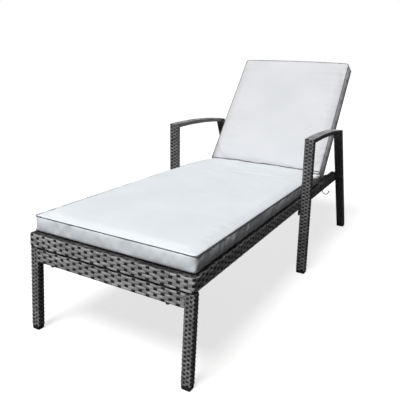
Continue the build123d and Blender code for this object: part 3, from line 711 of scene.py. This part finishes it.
def box_skin(half_x, low_y, high_y, low_z, high_z, step, corner):
    """The skin of a box as one closed grid with rounded upright corners. In a corner square, a point
    is pulled in to the same share of the quarter circle. Gives points, quads and which points are seams."""
    nx = max(int(round(2 * half_x / step)), 4)
    ny = max(int(round((high_y - low_y) / step)), 4)
    nz = max(int(round((high_z - low_z) / step)), 4)
    xs = np.linspace(-half_x, half_x, nx + 1)
    ys = np.linspace(low_y, high_y, ny + 1)
    zs = np.linspace(low_z, high_z, nz + 1)
    blocks = []
    for fixed, u, v, axes, turn in (
        (high_z, xs, ys, (0, 1, 2), False), (low_z, xs, ys, (0, 1, 2), True),
        (low_y, xs, zs, (0, 2, 1), False), (high_y, xs, zs, (0, 2, 1), True),
        (half_x, ys, zs, (1, 2, 0), False), (-half_x, ys, zs, (1, 2, 0), True),
    ):
        gu, gv = np.meshgrid(u, v, indexing="ij")
        points = np.zeros((gu.size, 3))
        points[:, axes[0]], points[:, axes[1]], points[:, axes[2]] = gu.ravel(), gv.ravel(), fixed
        index = np.arange(gu.size).reshape(gu.shape)
        quads = np.stack([index[:-1, :-1], index[1:, :-1], index[1:, 1:], index[:-1, 1:]], -1).reshape(-1, 4)
        blocks.append((points, quads[:, ::-1] if turn else quads))
    total, everything, faces = 0, [], []
    for points, quads in blocks:
        everything.append(points)
        faces.append(quads + total)
        total += len(points)
    everything, faces = np.concatenate(everything), np.concatenate(faces)
    keys, index = np.unique(np.round(everything, 6), axis=0, return_inverse=True)
    index = index.reshape(-1)
    faces = index[faces]
    side = np.isclose(np.abs(keys[:, 0]), half_x)
    side |= np.isclose(keys[:, 1], low_y) | np.isclose(keys[:, 1], high_y)
    seam = side & (np.isclose(keys[:, 2], low_z) | np.isclose(keys[:, 2], high_z))
    mid_y, half_y = (low_y + high_y) / 2, (high_y - low_y) / 2
    dx = np.maximum(np.abs(keys[:, 0]) - (half_x - corner), 0)
    dy = np.maximum(np.abs(keys[:, 1] - mid_y) - (half_y - corner), 0)
    both = (dx > 0) & (dy > 0)
    pull = np.where(both, np.maximum(dx, dy) / np.maximum(np.hypot(dx, dy), 1e-9), 1.0)
    points = keys.copy()
    pulled_x = np.sign(keys[:, 0]) * (half_x - corner + dx * pull)
    pulled_y = mid_y + np.sign(keys[:, 1] - mid_y) * (half_y - corner + dy * pull)
    points[:, 0] = np.where(both, pulled_x, keys[:, 0])
    points[:, 1] = np.where(both, pulled_y, keys[:, 1])
    return points, faces, seam


def puff(points, faces, seam, most, pressure=4.0, grow=0.012):
    """Blows the skin up as cloth held at its seams, and moves no point further than most."""
    mesh = bpy.data.meshes.new("blown skin")
    mesh.from_pydata(points.tolist(), [], faces.tolist())
    skin = link(bpy.data.objects.new("blown skin", mesh))
    held = skin.vertex_groups.new(name="held")
    held.add(np.nonzero(seam)[0].tolist(), 1.0, "REPLACE")
    cloth = skin.modifiers.new("cloth", "CLOTH")
    settings = cloth.settings
    settings.quality = 5
    settings.mass = 0.25
    settings.tension_stiffness = 18
    settings.compression_stiffness = 18
    settings.shear_stiffness = 6
    settings.bending_stiffness = 0.4
    settings.use_pressure = True
    settings.uniform_pressure_force = pressure
    settings.shrink_min = -grow
    settings.vertex_group_mass = "held"
    settings.effector_weights.gravity = 0
    scene = bpy.context.scene
    for step in range(1, 21):
        scene.frame_set(step)
    blown = skin.evaluated_get(bpy.context.evaluated_depsgraph_get())
    moved = np.zeros(len(points) * 3, np.float32)
    blown.data.vertices.foreach_get("co", moved)
    shift = moved.reshape(-1, 3) - points
    scene.frame_set(1)
    bpy.data.objects.remove(skin)
    bpy.data.meshes.remove(mesh)
    size = np.linalg.norm(shift, axis=1, keepdims=True)
    return points + shift * np.minimum(1.0, most / np.maximum(size, 1e-9))


def crown(points, half_x, low_y, high_y, rise):
    """How much a plump face stands up: nought at the seams, rising fast and then flat, each way."""
    across = np.clip(np.abs(points[:, 0]) / half_x, 0, 1)
    mid, half = (low_y + high_y) / 2, (high_y - low_y) / 2
    along = np.clip(np.abs(points[:, 1] - mid) / half, 0, 1)
    return rise * (1 - across**4) ** 0.7 * (1 - along**10) ** 0.7


def ripple(seed, places, amount, waves):
    """Soft random folds: a sum of sines whose directions and phases come from a fixed seed."""
    rng = np.random.default_rng(seed)
    total = np.zeros(len(places))
    for wave in waves:
        for _ in range(5):
            way = rng.normal(size=3) * np.asarray(wave)
            total += np.sin(places @ way * 2 * np.pi + rng.uniform(0, 2 * np.pi))
    return amount * total / (5 * len(waves)) ** 0.5


def cloth_group():
    """Woven polyester: crossing threads a third of a millimetre apart, slubs, faint soiling that takes
    the colour from Clean to Soiled, and soft creases in the height."""
    group, given, result = shared_effect(
        "woven cloth", (("Place", "Vector"), ("Clean", "Color"), ("Soiled", "Color")),
        (("Colour", "Color"), ("Height", "Float")))
    threads = []
    for way in ("X", "Y"):
        wave = group.nodes.new("ShaderNodeTexWave")
        wave.bands_direction = way
        wave.inputs["Scale"].default_value = 480.0
        wave.inputs["Distortion"].default_value = 0.6
        wave.inputs["Detail Scale"].default_value = 2.0
        group.links.new(given["Place"], wave.inputs["Vector"])
        threads.append(wave.outputs["Fac"])
    slub = noise(group, given["Place"], 260.0, 2.0)
    soil = noise(group, given["Place"], 5.5, 4.0)
    clean = step_up(group, sums(group, "MULTIPLY_ADD", soil, 0.8, scaled(group, slub, 0.2)), 0.2, 0.8)
    group.links.new(blend(group, clean, given["Soiled"], given["Clean"]), result["Colour"])
    cross = sums(group, "MULTIPLY", sums(group, "MULTIPLY", threads[0], threads[1]), 0.12)
    crease = noise(group, given["Place"], 18.0, 3.0)
    uneven = sums(group, "MULTIPLY_ADD", slub, 0.1, crease)
    group.links.new(sums(group, "ADD", cross, uneven), result["Height"])
    return group


cloth_weave = cloth_group()


def plain_cloth(name, turn, clean, soiled):
    """Pale woven cushion cloth with a light sheen."""
    material, tree, shader = fresh_material(name, 0.82, sheen=0.15)
    shader.inputs["Sheen Roughness"].default_value = 0.5
    made = put_in(tree, cloth_weave, Place=place_of(tree, turn=turn), Clean=clean, Soiled=soiled)
    tree.links.new(made["Colour"], shader.inputs["Base Color"])
    relief(tree, shader, made["Height"], 0.22, 0.003)
    return material


def cushion_mesh(name, points, faces, material):
    """The finished skin as a smooth object with one live subdivision."""
    made = solid(name, points, faces.tolist(), material)
    finer = made.modifiers.new("finer", "SUBSURF")
    finer.levels = finer.render_levels = 1
    return made


def piping(name, loop, radius, material):
    """A round piping cord sewn in a seam: circles carried round the closed loop of points."""
    ahead = np.roll(loop, -1, axis=0) - np.roll(loop, 1, axis=0)
    ahead /= np.linalg.norm(ahead, axis=1, keepdims=True)
    flat = np.linalg.svd(loop - loop.mean(0), full_matrices=False)[2][2]
    sideways = np.cross(ahead, flat)
    sideways /= np.linalg.norm(sideways, axis=1, keepdims=True)
    upright = np.cross(sideways, ahead)
    turn = np.linspace(0, 2 * np.pi, 9)[:-1]
    ring = np.cos(turn)[:, None] * sideways[:, None, :] + np.sin(turn)[:, None] * upright[:, None, :]
    rings = loop[:, None, :] + radius * ring
    quads = ring_quads(len(loop), len(turn), closed=True)
    first = rings[0].mean(0)
    outward = np.cross(rings[0, 1] - rings[0, 0], rings[1, 0] - rings[0, 0]) @ (rings[0, 0] - first)
    if outward < 0:
        quads = quads[:, ::-1]
    return solid(name, rings.reshape(-1, 3), quads.tolist(), material)


def round_loop(half_x, low_y, high_y, corner, step):
    """A closed rounded rectangle, evenly stepped, anticlockwise from the middle of the +x side."""
    count = max(int((4 * half_x + 2 * (high_y - low_y)) / step), 60)
    at, _, _ = section_ring(half_x, (high_y - low_y) / 2, corner, count)
    return at[:, 0], at[:, 1] + (low_y + high_y) / 2


seat_low, seat_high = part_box("seat_cushion")
seat_half = seat_high.x - 0.003
seat_front, seat_back = seat_low.y + 0.003, seat_high.y - 0.001
seat_under, seat_top = seat_low.z + 0.0008, seat_high.z - 0.004
seat_mid = (seat_front + seat_back) / 2


def ease_seat(points):
    """Shapes the seat pad after blowing: the top is plump, swells just before the hinge, and both
    faces slope down at the rear sides, where the pad is squeezed."""
    out = points.copy()
    share = np.clip((points[:, 2] - seat_under) / (seat_top - seat_under), 0, 1.3)
    plump = crown(points, seat_half, seat_front, seat_back, 0.0075)
    middle = 1 - np.clip(np.abs(points[:, 0]) / seat_half, 0, 1) ** 6
    swell = 0.003 * np.exp(-(((points[:, 1] - 0.290) / 0.05) ** 2)) * middle
    swell -= 0.013 * np.clip((points[:, 1] - 0.325) / 0.060, 0, 1) ** 1.5
    toward = np.clip((points[:, 1] - 0.15) / (seat_back - 0.15), 0, 1)
    slope = -0.022 * toward**1.6 * np.clip((np.abs(points[:, 0]) - 0.20) / (seat_half - 0.20), 0, 1) ** 1.5
    rim = np.maximum(np.abs(points[:, 0]) / seat_half, (seat_mid - points[:, 1]) / (seat_mid - seat_front))
    drawn_up = 0.0032 * np.clip(1 - share, 0, 1) * np.clip(rim, 0, 1) ** 40
    crease = -0.0035 * np.exp(-(((points[:, 1] - (0.085 + 0.03 * (points[:, 0] / seat_half))) / 0.006) ** 2))
    out[:, 2] += share * (plump + swell + slope) + drawn_up + np.where(share > 0.9, crease, 0)
    return out


points, faces, seam = box_skin(seat_half, seat_front, seat_back, seat_under, seat_top, 0.0095, 0.010)
points = puff(points, faces, seam, 0.009)
folds = ripple(3, points, 0.0022, ((9, 9, 0), (16, 16, 0)))
points = ease_seat(points)
upper = np.clip((points[:, 2] - seat_under) / (seat_top - seat_under), 0, 1)
outward = np.stack([
    np.sign(points[:, 0]) * (np.abs(points[:, 0]) > seat_half - 0.02),
    np.where(points[:, 1] < seat_front + 0.02, -1.0, 0.0),
], -1)
outward /= np.maximum(np.linalg.norm(outward, axis=1, keepdims=True), 1e-9)
points[:, :2] += outward * (folds * 4 * upper * (1 - upper))[:, None]
points[:, 2] += np.where(seam, 0, ripple(5, points, 0.0005, ((3, 3, 0), (7, 7, 0))))
points[:, 2] = np.maximum(points[:, 2], seat_under)
seat_cloth = plain_cloth("seat cloth", (0, 0, 0), (0.70, 0.745, 0.785, 1), (0.63, 0.67, 0.71, 1))
seat = cushion_mesh("seat_pad", points, faces, seat_cloth)
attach(seat, "bed")
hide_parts("seat_cushion")

pipe_dark, pipe_light = (0.09, 0.085, 0.10, 1), (0.20, 0.19, 0.215, 1)
pipe_cloth = fibrous("piping cloth", 0.85, (700, 700, 700), pipe_dark, pipe_light, 0.4)
loop_x, loop_y = round_loop(seat_half, seat_front, seat_back, 0.010, 0.006)
for level, name in ((seat_top, "seat_piping_top"), (seat_under + 0.002, "seat_piping_low")):
    loop = ease_seat(np.stack([loop_x, loop_y, np.full_like(loop_x, level)], -1))
    loop[:, 0] += np.sign(loop_x) * (np.abs(loop_x) > seat_half - 0.005) * 0.0006
    pipe = piping(name, loop, 0.0013, pipe_cloth)
    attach(pipe, "bed")

# Back cushion: the same boxed mattress where it lies on the back panel, piped
# twice round its boxing, with fine creases drawn in from both long seams.
hinge = np.array([0.0, 0.453, 0.336])
up_back = np.array([0.0, math.cos(recline), math.sin(recline)])
off_back = np.array([0.0, -math.sin(recline), math.cos(recline)])
pad_half, pad_low, pad_high, pad_rear, pad_face = 0.3045, 0.018, 0.709, 0.0155, 0.0682


def on_back(points):
    """Turns (across, up the back, off its face) into places in the frame."""
    return hinge + points[:, :1] * np.array([1.0, 0, 0]) + points[:, 1:2] * up_back + points[:, 2:] * off_back


def ease_back(points):
    """Shapes the back pad after blowing: plump face, its front seam drawn in at the sides, and a head
    edge that bows up in the middle."""
    out = points.copy()
    share = np.clip((points[:, 2] - pad_rear) / (pad_face - pad_rear), 0, 1.3)
    out[:, 2] += share * crown(points, pad_half, pad_low, pad_high, 0.008)
    out[:, 0] -= 0.009 * np.clip(share, 0, 1) ** 1.6 * points[:, 0] / pad_half
    middle = 1 - np.clip(np.abs(points[:, 0]) / pad_half, 0, 1) ** 2
    out[:, 1] += 0.006 * np.clip((points[:, 1] - 0.60) / 0.11, 0, 1) * middle
    return out


points, faces, seam = box_skin(pad_half, pad_low, pad_high, pad_rear, pad_face, 0.0095, 0.011)
points = puff(points, faces, seam, 0.009)
points = ease_back(points)
upper = np.clip((points[:, 2] - pad_rear) / (pad_face - pad_rear), 0, 1)
edge = np.clip((np.abs(points[:, 0]) - 0.12) / (pad_half - 0.12), 0, 1)
drawn = ripple(11, points * np.array([0.12, 1, 0]), 0.0016, ((0, 13, 0), (0, 24, 0)))
lifted = drawn * edge**1.5 * 1.3 + ripple(12, points, 0.0007, ((3, 3, 0),))
points[:, 2] += np.where(seam | (upper < 0.9), 0, lifted)
bulge = ripple(14, points, 0.0010, ((0, 14, 0), (0, 22, 0)))
bulged = np.sign(points[:, 0]) * bulge * 4 * upper * (1 - upper)
points[:, 0] += np.where(np.abs(points[:, 0]) > pad_half - 0.004, bulged, 0)
points[:, 2] = np.maximum(points[:, 2], pad_rear)
pad_front = points[upper > 0.95]
# Painted shade: the back pad's cloth is the seat's cloth of the same mattress, painted darker.
shaded_back_cloth = plain_cloth("shaded back cloth", (-recline, 0, 0), (0.585, 0.597, 0.628, 1), (0.53, 0.545, 0.575, 1))
back = cushion_mesh("back_pad", on_back(points), faces, shaded_back_cloth)
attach(back, "back")
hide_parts("back_cushion")
loop_x, loop_y = round_loop(pad_half, pad_low, pad_high, 0.011, 0.006)
for level, name in ((pad_face, "back_piping_front"), (pad_rear + 0.002, "back_piping_rear")):
    loop = ease_back(np.stack([loop_x, loop_y, np.full_like(loop_x, level)], -1))
    pipe = piping(name, on_back(loop), 0.0014, pipe_cloth)
    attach(pipe, "back")

# Valley shade cord: a thicker dark cord where the back part starts, laid across
# the mattress in the valley as painted shade for the crease; it shows as a dark, slightly wandering line.
cord_x = np.linspace(-0.293, 0.293, 90)
cord_s = 0.0300 + 0.0012 * np.sin(cord_x * 31) + 0.0008 * np.sin(cord_x * 83 + 1.0)
turn = np.linspace(0, 2 * np.pi, 9)[:-1]
thick = 0.0026 + 0.0005 * np.sin(cord_x * 57 + 0.4)
apart = pad_front[None, :, :2] - np.stack([cord_x, cord_s], -1)[:, None, :]
nearest = np.argmin((apart**2).sum(-1), axis=1)
under_cord = np.pad(pad_front[nearest, 2], 4, mode="edge")
cord_n = np.convolve(under_cord, np.full(9, 1 / 9), mode="valid") + 0.001
rings = np.stack([
    np.repeat(cord_x[:, None], 8, 1),
    cord_s[:, None] + thick[:, None] * np.cos(turn)[None, :],
    cord_n[:, None] + thick[:, None] * np.sin(turn)[None, :],
], -1)
quads = ring_quads(90, 8).tolist()
quads += [list(range(8))[::-1], list(range(712, 720))]
# Painted shade: a dark cord put in the valley's crease, where there is only shade.
valley_shade_cord = solid("valley_shade_cord", on_back(rings.reshape(-1, 3)), quads, pipe_cloth)
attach(valley_shade_cord, "back")

# The fold: the thin stretch of the mattress between its two stuffed parts. It
# is held inside both pads.
across = np.linspace(-0.296, 0.296, 61)
seat_end = np.array([[0.376, 0.353], [0.376, 0.376], [0.376, 0.394]])
back_end = [(0.042, 0.0655), (0.042, 0.040), (0.042, 0.0165)]
back_end = np.array([hinge[1:] + s * up_back[1:] + n * off_back[1:] for s, n in back_end])


def fold_outline():
    """The fold's outline seen from the side: up the seat end, over the valley, down the back end and
    back under; each run is a curve of second degree through its ends and a middle point."""
    def run(a, m, b, count):
        t = np.linspace(0, 1, count, endpoint=False)[:, None]
        return (1 - t) ** 2 * a + 2 * t * (1 - t) * m + t**2 * b
    top_valley = np.array([0.4150, 0.374])
    under = np.array([0.430, 0.3475])
    return np.concatenate([
        run(seat_end[0], seat_end[1], seat_end[2], 6),
        run(seat_end[2], top_valley, back_end[0], 18),
        run(back_end[0], back_end[1], back_end[2], 6),
        run(back_end[2], under, seat_end[0], 14),
    ])


outline = fold_outline()
inset = 1 - 0.10 * np.clip((np.abs(across) - 0.27) / 0.026, 0, 1) ** 2
middle = outline.mean(0)
rings = middle + (outline[None] - middle) * inset[:, None, None]
count = len(outline)
points = np.concatenate([np.repeat(across[:, None], count, 1)[..., None], rings], -1)
creases = ripple(21, points.reshape(-1, 3), 0.0009, ((7, 0, 0), (15, 0, 0))).reshape(points.shape[:2])
points[..., 2] += creases * (rings[..., 1] > 0.37)
quads = ring_quads(len(across), count)[:, [0, 3, 2, 1]].tolist()
quads += [list(range(count)), list(range(60 * count, 61 * count))[::-1]]
fold = solid("fold_pad", points.reshape(-1, 3), quads, seat_cloth)
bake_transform(fold)

# Studio: a plain pale floor, a soft high key from the foot end, a weak light
# from behind that shows the back frame, and a pale surround.
floor_mesh = bpy.data.meshes.new("floor")
floor_mesh.from_pydata([(-30, -30, 0), (30, -30, 0), (30, 30, 0), (-30, 30, 0)], [], [(0, 1, 2, 3)])
floor_paint, tree, shader = fresh_material("floor paint", 0.9)
seen = tree.nodes.new("ShaderNodeLightPath")
tree.links.new(blend(tree, seen.outputs["Is Camera Ray"], grey(0.04), grey(0.3)), shader.inputs["Base Color"])
shader.inputs["Emission Color"].default_value = (1, 1, 1, 1)
glow = sums(tree, "MULTIPLY", seen.outputs["Is Camera Ray"], 0.74)
tree.links.new(glow, shader.inputs["Emission Strength"])
floor_mesh.materials.append(floor_paint)
floor = link(bpy.data.objects.new("floor", floor_mesh))

sun = bpy.data.lights.new("key", "SUN")
sun.energy = 4.2
sun.angle = 0.4
sun.color = (1.0, 0.995, 0.98)
key = link(bpy.data.objects.new("key", sun))
key.matrix_world = Vector((-0.05, -0.53, 0.82)).to_track_quat("Z", "Y").to_matrix().to_4x4()
rim_sun = bpy.data.lights.new("rim", "SUN")
rim_sun.energy = 0.8
rim_sun.angle = 0.6
rim = link(bpy.data.objects.new("rim", rim_sun))
rim.visible_glossy = False
rim.matrix_world = Vector((-0.15, 0.95, 0.25)).to_track_quat("Z", "Y").to_matrix().to_4x4()
surround = bpy.data.worlds.new("surround")
surround.use_nodes = True
sky = surround.node_tree
seen = sky.nodes.new("ShaderNodeLightPath")
mirrored = scaled(sky, seen.outputs["Is Glossy Ray"], 0.06)
bright = sums(sky, "MAXIMUM", seen.outputs["Is Camera Ray"], mirrored)
sky.links.new(scaled(sky, bright, 0.955, 0.045), sky.nodes["Background"].inputs["Strength"])
sky.nodes["Background"].inputs["Color"].default_value = (1, 1, 1, 1)
bpy.context.scene.world = surround
bpy.context.scene.view_settings.view_transform = "Standard"
